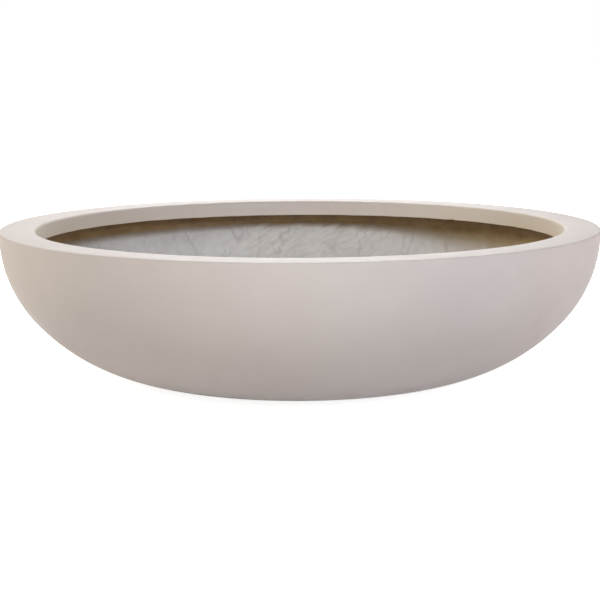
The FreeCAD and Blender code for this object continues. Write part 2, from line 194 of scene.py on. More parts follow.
def wall_curve(inset, steps):
    """The bowl's wall from the edge of the flat base up to the rim joint, moved inwards by inset."""
    belly = arc(BELLY_CENTRE, BELLY_RADIUS - inset, -math.pi / 2, -FLANK_SWEEP, steps)
    flank = arc(FLANK_CENTRE, FLANK_RADIUS - inset, -FLANK_SWEEP, 0, steps)
    return np.vstack([belly, flank[1:]])


def rounded(before, corner, after, radius, steps=8):
    """Points of a round of that radius in the corner between two straight edges."""
    before, corner, after = (np.array(point) for point in (before, corner, after))
    to_before = (before - corner) / np.linalg.norm(before - corner)
    to_after = (after - corner) / np.linalg.norm(after - corner)
    half = math.acos(to_before @ to_after) / 2
    bisector = (to_before + to_after) / np.linalg.norm(to_before + to_after)
    middle = corner + bisector * radius / math.sin(half)
    first = corner + to_before * radius / math.tan(half) - middle
    last = corner + to_after * radius / math.tan(half) - middle
    shares = np.linspace(0, 1, steps)
    turn = math.pi - 2 * half
    points = [(first * math.sin((1 - share) * turn) + last * math.sin(share * turn)) / math.sin(turn)
              for share in shares]
    return middle + np.array(points)


def smooth_step(values, low, high):
    """From 0 at the low value to 1 at the high one, with an easy start and end."""
    share = np.clip((values - low) / (high - low), 0, 1)
    return share * share * (3 - 2 * share)


def lattice_noise(points, cell_size, seed, side=32):
    """Smooth noise between -1 and 1 at points in metres, on a lattice of seeded values."""
    table = np.random.default_rng(SEED + seed).uniform(-1, 1, (side, side, side))
    scaled = points / np.array(cell_size)
    cell = np.floor(scaled).astype(int)
    share = smooth_step(scaled - cell, 0, 1)
    total = np.zeros(points.shape[:-1])
    for corner in itertools.product((0, 1), repeat=3):
        weight = np.prod(np.where(corner, share, 1 - share), axis=-1)
        index = (cell + corner) % side
        total += weight * table[index[..., 0], index[..., 1], index[..., 2]]
    return total


def bearings(segments):
    return np.arange(segments) * FULL_TURN / segments


def round_rim(angles):
    """Points on the rim's circle, to read noise along it."""
    return np.column_stack([np.cos(angles), np.sin(angles), np.zeros(len(angles))]) * RIM_RADIUS


def near_bearing(points, middle, width):
    """How near points lie to a bearing round the axis, from 0 to 1."""
    away = np.arctan2(points[..., 1], points[..., 0]) - middle
    away = (away + math.pi) % FULL_TURN - math.pi
    return np.exp(-(away / width) ** 2)


def ring(bm, radius, level, segments):
    """A loop of vertices round the axis. Radius and level may change along it."""
    radii = np.broadcast_to(radius, segments)
    levels = np.broadcast_to(level, segments)
    return [bm.verts.new((r * math.cos(a), r * math.sin(a), z))
            for r, a, z in zip(radii, bearings(segments), levels)]


def skin(bm, one, other, material=0):
    """Quads between two loops of equally many vertices."""
    for corners in zip(one, one[1:] + one[:1], other[1:] + other[:1], other):
        bm.faces.new(corners).material_index = material


DRAIN_PLACES = [Vector((DRAIN_CIRCLE * math.cos(bearing), DRAIN_CIRCLE * math.sin(bearing), 0))
                for bearing in bearings(DRAIN_COUNT)]


def fill_with_drains(bm, outer, level, material):
    """A level disc inside a loop, with the drain holes left open. Gives the loops of the holes."""
    holes = []
    for place in DRAIN_PLACES:
        hole = ring(bm, DRAIN_RADIUS, level, DRAIN_SEGMENTS)
        for vertex in hole:
            vertex.co += place
        holes.append(hole)
    edges = []
    for loop in [outer] + holes:
        for pair in zip(loop, loop[1:] + loop[:1]):
            edges.append(bm.edges.get(pair) or bm.edges.new(pair))
    for item in bmesh.ops.triangle_fill(bm, edges=edges, use_beauty=True)["geom"]:
        if isinstance(item, bmesh.types.BMFace):
            item.material_index = material
    return holes


def finish_piece(bm, name, materials, body, nodes, sharp_angle=SHARP_ANGLE):
    """Turn a closed mesh into a piece that stands for CAD nodes and rides on their body."""
    bmesh.ops.recalc_face_normals(bm, faces=bm.faces)
    mesh = bpy.data.meshes.new(name)
    bm.to_mesh(mesh)
    bm.free()
    mesh.shade_smooth()
    mesh.set_sharp_from_angle(angle=sharp_angle)
    for material in materials:
        mesh.materials.append(material)
    piece = bpy.data.objects.new(name, mesh)
    bpy.context.scene.collection.objects.link(piece)
    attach(piece, body)
    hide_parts(*nodes)
    return piece


def write_attribute(piece, name, measure):
    """Keep a measure of each vertex with the piece, for its material to read."""
    points = np.array([vertex.co for vertex in piece.data.vertices])
    attribute = piece.data.attributes.new(name, "FLOAT", "POINT")
    attribute.data.foreach_set("value", measure(points))


# Materials

def srgb(red, green, blue):
    """A colour given in the 0 to 255 values of a picture, as the linear one that shaders take."""
    channels = [value / 255 for value in (red, green, blue)]
    linear = [c / 12.92 if c <= 0.04045 else ((c + 0.055) / 1.055) ** 2.4 for c in channels]
    return (*linear, 1)


STONE_DARK = srgb(212, 203, 200)
STONE_PALE = srgb(216, 207, 204)
STONE_SPECK = srgb(192, 182, 176)
# Creamy tint of the painted warm light on the lip
STONE_PAINTED_WARM_LIGHT = srgb(213, 200, 180)
RESIN_DARK = srgb(130, 103, 68)
RESIN_PALE = srgb(152, 124, 85)
RESIN_STRAND = srgb(176, 152, 118)
# Coat greys: the higher pair is painted shade under the rim, the lower pair painted light low in the bowl
COAT_PAINTED_SHADE_HIGH_DARK = srgb(216, 213, 212)
COAT_PAINTED_SHADE_HIGH_PALE = srgb(225, 222, 221)
COAT_PAINTED_LIGHT_LOW_DARK = srgb(228, 225, 224)
COAT_PAINTED_LIGHT_LOW_PALE = srgb(236, 233, 232)
# Dark tone of the coat's mottle, also the painted shade of its strokes; then the strokes' painted light
COAT_MOTTLE_AND_STROKE_SHADE = srgb(192, 188, 184)
COAT_PAINTED_STROKE_LIGHT = srgb(231, 229, 226)
# Painted shade in the creases and cracks
COAT_PAINTED_CREASE_SHADE = srgb(120, 114, 108)
# Thin wash of the coat; its brown is painted shade on one side of the bowl
WASH_GREY = srgb(148, 134, 120)
WASH_PAINTED_SHADE_BROWN = srgb(160, 139, 103)
PASTE_DARK = srgb(88, 66, 46)
PASTE_PALE = srgb(122, 95, 66)
RUBBER_DARK = srgb(26, 26, 27)
RUBBER_BLOOM = srgb(46, 45, 44)

# How strongly glass strands, the coat's mottle, the painted light and shade of its strokes and the painted
# shade in its creases show in the colours
STRANDS_SHOW = 0.15
MOTTLE_SHOWS = 0.3
STROKE_LIGHT_AND_SHADE_SHOWS = 0.42
CREASE_SHADE_SHOWS = 0.3

NOISE_MIDDLE = 0.5
STRAND_TURNS = ((20, 35, 10), (75, -30, 60), (-35, 15, 120))
STRAND_STRETCH = (9, 1, 1.4)


class NodeTree:
    """The nodes of a material or a world, with a few helpers to build them."""

    def __init__(self, owner):
        owner.use_nodes = True
        self.tree = owner.node_tree

    def node(self, kind, **settings):
        made = self.tree.nodes.new(kind)
        for name, value in settings.items():
            setattr(made, name, value)
        return made

    def feed(self, socket, value):
        """Link an output to a socket, or set the socket's value."""
        if isinstance(value, bpy.types.NodeSocket):
            self.tree.links.new(value, socket)
        else:
            socket.default_value = value

    def spread(self, value, low, high, to_low=0.0, to_high=1.0):
        """Map a value from one range to another, smoothly and without overshoot."""
        mapped = self.node("ShaderNodeMapRange", interpolation_type="SMOOTHSTEP")
        self.feed(mapped.inputs["Value"], value)
        self.feed(mapped.inputs["From Min"], low)
        self.feed(mapped.inputs["From Max"], high)
        self.feed(mapped.inputs["To Min"], to_low)
        self.feed(mapped.inputs["To Max"], to_high)
        return mapped.outputs["Result"]

    def maths(self, operation, one, other=0.0):
        node = self.node("ShaderNodeMath", operation=operation)
        self.feed(node.inputs[0], one)
        self.feed(node.inputs[1], other)
        return node.outputs["Value"]

    def seen_directly(self):
        """A value that is 1 for what the camera sees, also in a reflection or through glass."""
        path = self.node("ShaderNodeLightPath")
        seen = path.outputs["Is Camera Ray"]
        for name in ("Is Glossy Ray", "Is Transmission Ray"):
            seen = self.maths("MAXIMUM", seen, path.outputs[name])
        return seen


class Surface(NodeTree):
    """A material with helpers for layered procedural looks."""

    def __init__(self, name, specular):
        self.material = bpy.data.materials.new(name)
        super().__init__(self.material)
        self.shader = self.tree.nodes["Principled BSDF"]
        self.feed(self.shader.inputs["Specular IOR Level"], specular)
        self.place = self.node("ShaderNodeTexCoord").outputs["Object"]

    def stretched(self, turn, stretch):
        """The place on the surface, turned by degrees and then squeezed along each axis."""
        mapping = self.node("ShaderNodeMapping", vector_type="TEXTURE")
        self.feed(mapping.inputs["Rotation"], [math.radians(angle) for angle in turn])
        self.feed(mapping.inputs["Scale"], stretch)
        self.feed(mapping.inputs["Vector"], self.place)
        return mapping.outputs["Vector"]

    def noise(self, scale, detail=2.0, roughness=0.5, distortion=0.0, place=None):
        texture = self.node("ShaderNodeTexNoise")
        self.feed(texture.inputs["Vector"], place or self.place)
        self.feed(texture.inputs["Scale"], scale)
        self.feed(texture.inputs["Detail"], detail)
        self.feed(texture.inputs["Roughness"], roughness)
        self.feed(texture.inputs["Distortion"], distortion)
        return texture.outputs["Fac"]

    def clouds(self, scale, **settings):
        """Noise that fills the range from 0 to 1."""
        return self.spread(self.noise(scale, **settings), low=0.3, high=0.7)

    def cells(self, scale, place):
        """Distance from the nearest border between cells."""
        texture = self.node("ShaderNodeTexVoronoi", feature="DISTANCE_TO_EDGE")
        self.feed(texture.inputs["Vector"], place)
        self.feed(texture.inputs["Scale"], scale)
        return texture.outputs["Distance"]

    def height(self):
        parts = self.node("ShaderNodeSeparateXYZ")
        self.feed(parts.inputs["Vector"], self.place)
        return parts.outputs["Z"]

    def attribute(self, name):
        return self.node("ShaderNodeAttribute", attribute_name=name).outputs["Fac"]

    def mix(self, share, one, other):
        node = self.node("ShaderNodeMix", data_type="RGBA")
        self.feed(node.inputs["Factor"], share)
        self.feed(node.inputs["A"], one)
        self.feed(node.inputs["B"], other)
        return node.outputs["Result"]

    def bump(self, height, distance, strength, under=None):
        node = self.node("ShaderNodeBump")
        self.feed(node.inputs["Strength"], strength)
        self.feed(node.inputs["Distance"], distance)
        self.feed(node.inputs["Height"], height)
        if under:
            self.feed(node.inputs["Normal"], under)
        return node.outputs["Normal"]

    def finish(self, colour, roughness, normal):
        self.feed(self.shader.inputs["Base Color"], colour)
        self.feed(self.shader.inputs["Roughness"], roughness)
        self.feed(self.shader.inputs["Normal"], normal)
        return self.material


def stone_paint():
    """Matte warm stone-grey paint with a faint mottle, fine specks and spray texture, and painted warm light
    on the lip.
    """
    paint = Surface("stone_paint", specular=0.3)
    tone = paint.mix(paint.clouds(7, detail=4, roughness=0.6), STONE_DARK, STONE_PALE)
    speck = paint.spread(paint.noise(520, detail=1), low=0.66, high=0.76, to_high=0.25)
    tone = paint.mix(speck, tone, STONE_SPECK)
    # Painted warm light: a creamy tint on the lip, most at its sides and lower down
    tone = paint.mix(paint.attribute("painted_warm_light"), tone, STONE_PAINTED_WARM_LIGHT)
    roughness = paint.spread(paint.noise(45, detail=3), low=0.3, high=0.7, to_low=0.56, to_high=0.66)
    waves = paint.bump(paint.noise(16), distance=0.0012, strength=0.35)
    peel = paint.bump(paint.noise(420), distance=0.0002, strength=0.35, under=waves)
    return paint.finish(tone, roughness, peel)


def strands(surface, scale):
    """Crossing glass strands as lines of light, from layers of long thin cells."""
    lines = 0
    for turn in STRAND_TURNS:
        borders = surface.cells(scale, surface.stretched(turn, STRAND_STRETCH))
        layer = surface.spread(borders, low=0, high=0.16, to_low=1, to_high=0)
        lines = surface.maths("MAXIMUM", lines, layer)
    return lines


def bare_laminate():
    """Unpainted resin with chopped glass strands in it."""
    laminate = Surface("bare_laminate", specular=0.4)
    mat = strands(laminate, scale=60)
    clouds = laminate.clouds(28, detail=4, roughness=0.6)
    resin = laminate.mix(clouds, RESIN_DARK, RESIN_PALE)
    tone = laminate.mix(laminate.maths("MULTIPLY", mat, STRANDS_SHOW), resin, RESIN_STRAND)
    roughness = laminate.spread(clouds, low=0, high=1, to_low=0.42, to_high=0.62)
    lumps = laminate.bump(laminate.noise(70, detail=3), distance=0.0015, strength=0.5)
    fibres = laminate.bump(mat, distance=0.0004, strength=0.6, under=lumps)
    return laminate.finish(tone, roughness, fibres)


def wall_cracks(coat):
    """Thin upright lines that wander, come and go on the wall, from the middle contour of a noise."""
    upright = coat.stretched(turn=(0, 18, 0), stretch=(1, 1, 2.2))
    level = coat.maths("SUBTRACT", coat.noise(30, distortion=0.4, place=upright), NOISE_MIDDLE)
    lines = coat.spread(coat.maths("ABSOLUTE", level), low=0, high=0.035, to_low=1, to_high=0)
    broken = coat.spread(coat.noise(20), low=0.47, high=0.57)
    on_wall = coat.spread(coat.height(), low=0.02, high=0.10, to_low=0.15, to_high=0.6)
    return coat.maths("MULTIPLY", coat.maths("MULTIPLY", lines, broken), on_wall)


def coat_grey(coat, patches):
    """The coat's grey: painted shade high up, painted light low in the bowl, soft patches and a fine mottle.
    """
    high = coat.mix(patches, COAT_PAINTED_SHADE_HIGH_DARK, COAT_PAINTED_SHADE_HIGH_PALE)
    low = coat.mix(patches, COAT_PAINTED_LIGHT_LOW_DARK, COAT_PAINTED_LIGHT_LOW_PALE)
    # Painted shade high on the wall and painted light low in the bowl, by height
    grey = coat.mix(coat.spread(coat.height(), low=0.140, high=0.185), low, high)
    mottle = coat.clouds(75, detail=4, roughness=0.65)
    return coat.mix(coat.maths("MULTIPLY", mottle, MOTTLE_SHOWS), grey, COAT_MOTTLE_AND_STROKE_SHADE)


def coat_over_resin(coat, grey):
    """The grey where the coat covers well, then a thin wash of it, and bare resin where there is none.
    Painted shade cuts the cover and browns the wash on one side.
    """
    blotches = coat.noise(40, detail=4, roughness=0.6)
    uneven = coat.spread(blotches, low=0.2, high=0.8, to_low=-0.06, to_high=0.06)
    cover_and_painted_shade = coat.maths("ADD", coat.attribute("coat"), uneven)
    resin = coat.mix(coat.clouds(24, detail=4), RESIN_DARK, RESIN_PALE)
    # Painted shade: the wash turns brown on one side of the bowl
    wash = coat.mix(coat.attribute("painted_shade_side"), WASH_GREY, WASH_PAINTED_SHADE_BROWN)
    thin = coat.mix(coat.spread(cover_and_painted_shade, low=0, high=0.25), resin, wash)
    return coat.mix(coat.spread(cover_and_painted_shade, low=0.12, high=0.95), thin, grey)


def grey_laminate():
    """Grey coat brushed over the hand-laid lining: painted light and shade on strokes, painted shade in
    creases, and brown where it is thin and in painted shade.
    """
    coat = Surface("grey_laminate", specular=0.35)
    patches = coat.clouds(11, detail=4, roughness=0.55)
    slanting = coat.stretched(turn=(0, STROKE_LEAN, STROKE_TURN), stretch=(0.035, 0.035, 0.008))
    strokes = coat.noise(1, detail=4, roughness=0.6, distortion=1.2, place=slanting)
    # Painted light and shade: the brush strokes are drawn as paler and darker bands in the coat
    stroke_light_and_shade = coat.mix(coat.spread(strokes, low=0.3, high=0.7), COAT_MOTTLE_AND_STROKE_SHADE, COAT_PAINTED_STROKE_LIGHT)
    brushing = coat.attribute("brushing")
    stroke_light_and_shade_share = coat.maths("MULTIPLY", brushing, STROKE_LIGHT_AND_SHADE_SHOWS)
    grey = coat.mix(stroke_light_and_shade_share, coat_grey(coat, patches), stroke_light_and_shade)
    cracks = wall_cracks(coat)
    # Painted shade: the creases and the cracks are darkened in colour
    creases = coat.maths("MAXIMUM", cracks, coat.attribute("crease"))
    grey = coat.mix(coat.maths("MULTIPLY", creases, CREASE_SHADE_SHOWS), grey, COAT_PAINTED_CREASE_SHADE)
    roughness = coat.spread(patches, low=0, high=1, to_low=0.54, to_high=0.68)
    brushed = coat.bump(coat.maths("MULTIPLY", strokes, brushing), distance=0.0015, strength=0.7)
    cracked = coat.bump(coat.maths("SUBTRACT", 1, cracks), distance=0.0012, strength=0.6, under=brushed)
    fibres = coat.bump(strands(coat, scale=52), distance=0.0004, strength=0.4, under=cracked)
    grain = coat.bump(coat.noise(240, detail=3), distance=0.0004, strength=0.5, under=fibres)
    return coat.finish(coat_over_resin(coat, grey), roughness, grain)


def bond_paste():
    """Dark brown filled paste, squeezed out in lumps."""
    paste = Surface("bond_paste", specular=0.4)
    lumps = paste.noise(55, detail=4, roughness=0.6, distortion=0.5)
    tone = paste.mix(paste.spread(lumps, low=0.3, high=0.7), PASTE_DARK, PASTE_PALE)
    roughness = paste.spread(lumps, low=0.3, high=0.7, to_low=0.4, to_high=0.6)
    return paste.finish(tone, roughness, paste.bump(lumps, distance=0.002, strength=0.8))


def black_rubber():
    """Moulded rubber with a dull bloom on it."""
    rubber = Surface("black_rubber", specular=0.35)
    bloom = rubber.spread(rubber.noise(90, detail=4, roughness=0.6), low=0.35, high=0.75)
    tone = rubber.mix(bloom, RUBBER_DARK, RUBBER_BLOOM)
    roughness = rubber.spread(bloom, low=0, high=1, to_low=0.5, to_high=0.72)
    return rubber.finish(tone, roughness, rubber.bump(rubber.noise(900), distance=0.0001, strength=0.5))


# Shell and rim, painted where they show and bare behind

PAINTED = 0
BARE = 1


def make_shell(paint, laminate):
    bm = bmesh.new()
    outside = [ring(bm, r, z, SHELL_SEGMENTS) for r, z in wall_curve(0, SHELL_RINGS_PER_ARC)]
    inside = [ring(bm, r, z, SHELL_SEGMENTS) for r, z in wall_curve(SHELL_WALL, SHELL_RINGS_PER_ARC)]
    for lower, upper in zip(outside, outside[1:]):
        skin(bm, lower, upper, PAINTED)
    for lower, upper in zip(inside, inside[1:]):
        skin(bm, lower, upper, BARE)
    skin(bm, outside[-1], inside[-1], BARE)
    under = fill_with_drains(bm, outside[0], 0, PAINTED)
    above = fill_with_drains(bm, inside[0], SHELL_WALL, BARE)
    for lower, upper in zip(under, above):
        skin(bm, lower, upper, BARE)
    return finish_piece(bm, "bowl_shell_visual", [paint, laminate], "bowl", ["bowl_shell"])


def rim_outline():
    """The rim's outline in three runs: its painted face, the trimmed edge of the lip, and the bare back."""
    lip_top = RIM_RADIUS - RIM_WIDTH
    lip_foot = lip_top - LIP_LEAN
    leg_face = FLANK_RADIUS - LEG_INSET
    leg_back = leg_face - LEG_WALL
    depth = JOINT_HEIGHT - LEG_LEVEL
    joint = (RIM_RADIUS, JOINT_HEIGHT)
    outer = (RIM_RADIUS, BOWL_HEIGHT)
    inner = (lip_top, BOWL_HEIGHT)
    foot = (lip_foot, LIP_LEVEL)
    heel = (lip_foot + LIP_WALL, LIP_LEVEL)
    behind = (lip_top + LIP_WALL, JOINT_HEIGHT)
    face = np.vstack([[joint],
                      rounded(joint, outer, inner, RIM_OUTER_ROUND),
                      rounded(outer, inner, foot, RIM_INNER_ROUND, steps=12)])
    edge = np.vstack([rounded(inner, foot, heel, LIP_EDGE_ROUND),
                      rounded(foot, heel, behind, LIP_EDGE_ROUND)])
    back = np.vstack([[behind],
                      arc(FLANK_CENTRE, leg_back, 0, -math.asin(depth / leg_back), LEG_STEPS),
                      arc(FLANK_CENTRE, leg_face, -math.asin(depth / leg_face), 0, LEG_STEPS)])
    return face, edge, back


def lip_unevenness():
    """How far the trimmed lower edge of the lip strays, and where small chips break it."""
    round_lip = round_rim(bearings(RIM_SEGMENTS))
    wander = LIP_WANDER * lattice_noise(round_lip, cell_size=0.03, seed=1)
    near = near_bearing(round_lip, LIP_CHIPS_BEARING, LIP_CHIPS_SPREAD)
    chips = LIP_CHIPS * near * np.clip(lattice_noise(round_lip, cell_size=0.008, seed=2), 0, 1)
    return wander + chips


def lip_painted_warm_light(points):
    """Painted warm light, a creamy tint from 0 to 1: down the lip, most at its sides."""
    radius = np.hypot(points[..., 0], points[..., 1])
    on_lip = smooth_step(RIM_RADIUS - radius, RIM_WIDTH - LIP_WALL, RIM_WIDTH)
    down_lip = smooth_step(BOWL_HEIGHT - points[..., 2], 0, LIP_DROP)
    aside = (points[..., 0] / radius) ** 2
    warm_light_down = np.interp(down_lip, (0, 1), WARM_LIGHT_DOWN)
    warm_light_aside = np.interp(aside, (0, 1), WARM_LIGHT_ASIDE)
    return on_lip * warm_light_down * warm_light_aside


def make_rim(paint, laminate):
    face, edge, back = rim_outline()
    uneven = lip_unevenness()
    bm = bmesh.new()
    painted = [ring(bm, r, z, RIM_SEGMENTS) for r, z in face]
    painted += [ring(bm, r, z + uneven, RIM_SEGMENTS) for r, z in edge]
    bare = [ring(bm, r, z, RIM_SEGMENTS) for r, z in back]
    for one, other in zip(painted, painted[1:]):
        skin(bm, one, other, PAINTED)
    for one, other in zip([painted[-1]] + bare, bare + [painted[0]]):
        skin(bm, one, other, BARE)
    piece = finish_piece(bm, "rim_ring_visual", [paint, laminate], "bowl", ["rim_ring"])
    # Painted warm light on the lip, for the paint to read
    write_attribute(piece, "painted_warm_light", lip_painted_warm_light)
    return piece


# Lining

def lining_course():
    """The line that the lining is laid on, from the doubler's middle up the wall, and lengths along it."""
    doubler = [(0, DOUBLER_TOP), (DOUBLER_RADIUS - DOUBLER_BEVEL, DOUBLER_TOP), (DOUBLER_RADIUS, SHELL_WALL)]
    course = np.vstack([doubler, wall_curve(SHELL_WALL, COURSE_STEPS)])
    steps = np.linalg.norm(np.diff(course, axis=0), axis=1)
    return course, np.concatenate([[0], np.cumsum(steps)])


COURSE, COURSE_LENGTH = lining_course()
FLAT_END, FLOOR_END, WALL_START = COURSE_LENGTH[1:4]
ON_WALL = COURSE_LENGTH >= WALL_START


def lining_end(angles):
    """The length along its course at which the lining's uneven edge ends it, at each bearing."""
    round_bowl = round_rim(angles)
    wander = LINING_EDGE_WANDER * lattice_noise(round_bowl, cell_size=0.07, seed=3)
    jitter = LINING_EDGE_JITTER * lattice_noise(round_bowl, cell_size=0.02, seed=4)
    return np.interp(LINING_EDGE + wander + jitter, COURSE[ON_WALL, 1], COURSE_LENGTH[ON_WALL])


def on_course(places, angles):
    """Points under the lining and the directions out of it, at lengths along its course and bearings."""
    radius = np.interp(places, COURSE_LENGTH, COURSE[:, 0])
    level = np.interp(places, COURSE_LENGTH, COURSE[:, 1])
    slope = np.gradient(COURSE, COURSE_LENGTH, axis=0)
    slope_out = np.interp(places, COURSE_LENGTH, slope[:, 0])
    slope_up = np.interp(places, COURSE_LENGTH, slope[:, 1])
    size = np.hypot(slope_out, slope_up)
    cos, sin = np.cos(angles), np.sin(angles)
    under = np.stack([radius * cos, radius * sin, level], axis=-1)
    out = np.stack([-slope_up / size * cos, -slope_up / size * sin, slope_out / size], axis=-1)
    return under, out


def clear_of_drains(points):
    """From 0 round the drain holes, where the plugs sit on a smooth seat, to 1 away from them."""
    distances = [np.linalg.norm(points[..., :2] - place.xy, axis=-1) for place in DRAIN_PLACES]
    return smooth_step(np.min(distances, axis=0), SMOOTH_SEAT_RADIUS, ROUGH_FROM_RADIUS)


def lining_creases(points):
    """How deep in a crease each point of the lining lies, from 0 to 1."""
    bends = [lattice_noise(points, cell_size=0.03, seed=seed) for seed in CREASE_BEND_SEEDS]
    bent = points + CREASE_BEND * np.stack(bends, axis=-1)
    contour = np.abs(lattice_noise(bent, CREASE_SIZE, seed=1712))
    lines = smooth_step(1 - contour / CREASE_WIDTH, 0, 1)
    more = CREASED_MORE * near_bearing(points, CREASED_BEARING, CREASED_SPREAD)
    broken = smooth_step(lattice_noise(points, cell_size=0.05, seed=1713) + more, low=0, high=0.5)
    return lines * broken * clear_of_drains(points)


def lining_strokes(points):
    """Long slanting brush strokes, from -1 to 1."""
    lean = Matrix.Rotation(math.radians(STROKE_LEAN), 3, "Y")
    turn = Matrix.Rotation(math.radians(STROKE_TURN), 3, "Z")
    return lattice_noise(points @ np.array(lean @ turn), STROKE_SIZE, seed=7)


def lining_brushing(points):
    """How clearly brush strokes show on the lining, from 0 to 1."""
    patch = near_bearing(points, BRUSHED_BEARING, BRUSHED_SPREAD)
    elsewhere = BRUSHED_ELSEWHERE * lattice_noise(points, cell_size=0.12, seed=8)
    return smooth_step(patch + elsewhere, low=0.1, high=0.6)


def lining_relief(points):
    """How far the lining's face lies above or below its mean: waves, brush strokes and creases."""
    waves = sum(height * lattice_noise(points, length, seed) for height, length, seed in LINING_WAVES)
    brushed = STROKE_HEIGHT * lining_strokes(points) * lining_brushing(points)
    return (waves + brushed) * clear_of_drains(points) - CREASE_DEPTH * lining_creases(points)


def lining_painted_shade_side(points):
    """Painted shade on one side of the bowl, from 0 to 1, drawn as a thinner, browner coat."""
    bearing = np.arctan2(points[..., 1], points[..., 0])
    return smooth_step(bearing, *SHADE_SIDE_SETS_IN) - smooth_step(bearing, *SHADE_SIDE_DIES_OUT)


def lining_cover_and_painted_shade(points):
    """How well the grey coat covers: bare near the lining's edge, and lower down as painted shade to the left
    and on the shade side.
    """
    to_left = -points[..., 0]
    painted_shade_side = lining_painted_shade_side(points)
    # Painted shade: the coat sets in lower, with a wider fade, to the left and on the shade side
    shade_side_drop = SHADE_SIDE_DROP * painted_shade_side
    left_shade_drop = LEFT_SHADE_DROP * smooth_step(to_left, *LEFT_SHADE_RUN)
    left_shade_drop += LEFT_END_SHADE_DROP * smooth_step(to_left, *LEFT_END_SHADE_RUN)
    edge = COAT_EDGE - left_shade_drop - shade_side_drop
    edge += COAT_WANDER * lattice_noise(points, cell_size=0.06, seed=14)
    edge += COAT_STROKES * lining_strokes(points) * lining_brushing(points)
    fade = COAT_FADE + LEFT_SHADE_FADE * left_shade_drop + SHADE_SIDE_FADE * shade_side_drop
    return smooth_step((edge - points[..., 2]) / fade, -1, 1) * (1 - SHADE_SIDE_LOSS * painted_shade_side)


def lining_face(places, angles):
    """Points on the lining's face, feathered out towards its edge."""
    under, out = on_course(places, angles)
    feather = smooth_step(lining_end(angles) - places, 0, LINING_FEATHER)
    thickness = np.maximum(LINING_WALL + lining_relief(under), LINING_LEAST_WALL)
    thickness *= FEATHERED_SHARE + (1 - FEATHERED_SHARE) * feather
    return under + out * thickness[..., None]


def faces_over_drains(points):
    """Which faces of a grid lie over a drain hole. Points at the holes' edges move onto them."""
    flat = points[..., :2]
    beside = np.roll(flat, -1, axis=1)
    centres = (flat[:-1] + flat[1:] + beside[:-1] + beside[1:]) / 4
    cut = np.zeros(centres.shape[:2], bool)
    for place in DRAIN_PLACES:
        middle = np.array(place.xy)
        over = np.linalg.norm(centres - middle, axis=-1) < DRAIN_RADIUS
        touched = np.zeros(flat.shape[:2], bool)
        kept = np.zeros(flat.shape[:2], bool)
        for row_shift, column_shift in itertools.product((0, 1), repeat=2):
            rows = slice(row_shift, row_shift + len(over))
            touched[rows] |= np.roll(over, column_shift, axis=1)
            kept[rows] |= np.roll(~over, column_shift, axis=1)
        border = touched & kept
        offset = flat[border] - middle
        flat[border] = middle + offset * DRAIN_RADIUS / np.linalg.norm(offset, axis=-1, keepdims=True)
        cut |= over
    return cut


def make_loops(bm, points):
    return [[bm.verts.new(point) for point in row] for row in points]


def skin_to_double(bm, few, many):
    """Triangles between a loop and one of twice as many vertices."""
    count = len(few)
    for i in range(count):
        one, other = few[i], few[(i + 1) % count]
        first, middle, last = many[2 * i], many[2 * i + 1], many[(2 * i + 2) % len(many)]
        bm.faces.new((one, first, middle))
        bm.faces.new((one, middle, other))
        bm.faces.new((other, middle, last))


def make_lining_floor(bm):
    """The part of the lining's face over the doubler, with the drain holes cut through to the doubler."""
    places = np.linspace(0, FLOOR_END, FLOOR_RINGS + 1)[1:, None]
    places = np.broadcast_to(places, (FLOOR_RINGS, COARSE_SEGMENTS))
    points = lining_face(places, bearings(COARSE_SEGMENTS))
    cut = faces_over_drains(points)
    loops = make_loops(bm, points)
    bm.faces.new(loops[0])
    for row, column in np.argwhere(~cut):
        near, far = loops[row], loops[row + 1]
        across = (column + 1) % COARSE_SEGMENTS
        bm.faces.new((near[column], near[across], far[across], far[column]))
    inside_drains = [vertex for vertex in bm.verts if not vertex.link_faces]
    bmesh.ops.delete(bm, geom=inside_drains, context="VERTS")
    outer = set(loops[-1])
    hole_edges = [edge for edge in bm.edges if edge.is_boundary and edge.verts[0] not in outer]
    for item in bmesh.ops.extrude_edge_only(bm, edges=hole_edges)["geom"]:
        if isinstance(item, bmesh.types.BMVert):
            item.co.z = DOUBLER_TOP
    return loops[-1]


def towards_edge(start, rings, angles):
    """Lengths along the lining's course from a start to its edge, closer together near the edge."""
    shares = 1 - (1 - np.linspace(0, 1, rings + 1)[1:, None]) ** EDGE_CROWDING
    return start + shares * (lining_end(angles) - start)


def make_lining(material):
    bm = bmesh.new()
    floor_edge = make_lining_floor(bm)
    fine, coarse = bearings(FINE_SEGMENTS), bearings(COARSE_SEGMENTS)
    face = make_loops(bm, lining_face(towards_edge(FLOOR_END, WALL_RINGS, fine), fine))
    on_doubler = np.broadcast_to([[FLAT_END], [FLOOR_END], [WALL_START]], (3, COARSE_SEGMENTS))
    back_places = np.vstack([on_doubler, towards_edge(WALL_START, BACK_RINGS, coarse)])
    back = make_loops(bm, on_course(back_places, coarse)[0])
    for loops in (face, back):
        for lower, upper in zip(loops, loops[1:]):
            skin(bm, lower, upper)
    skin_to_double(bm, floor_edge, face[0])
    skin_to_double(bm, back[-1], face[-1])
    open_edges = [edge for edge in bm.edges if edge.is_boundary]
    bmesh.ops.triangle_fill(bm, edges=open_edges, use_beauty=True)
    piece = finish_piece(bm, "inner_lining_visual", [material], "bowl", ["inner_lining"],
                         LINING_SHARP_ANGLE)
    # Crease depth, which the coat also uses to darken the creases as painted shade
    write_attribute(piece, "crease", lining_creases)
    write_attribute(piece, "brushing", lining_brushing)
    # Painted shade on one side, and the cover with painted shade in it, for the coat to read
    write_attribute(piece, "painted_shade_side", lining_painted_shade_side)
    write_attribute(piece, "coat", lining_cover_and_painted_shade)
    return piece


# Plugs, and the CAD solids that stay

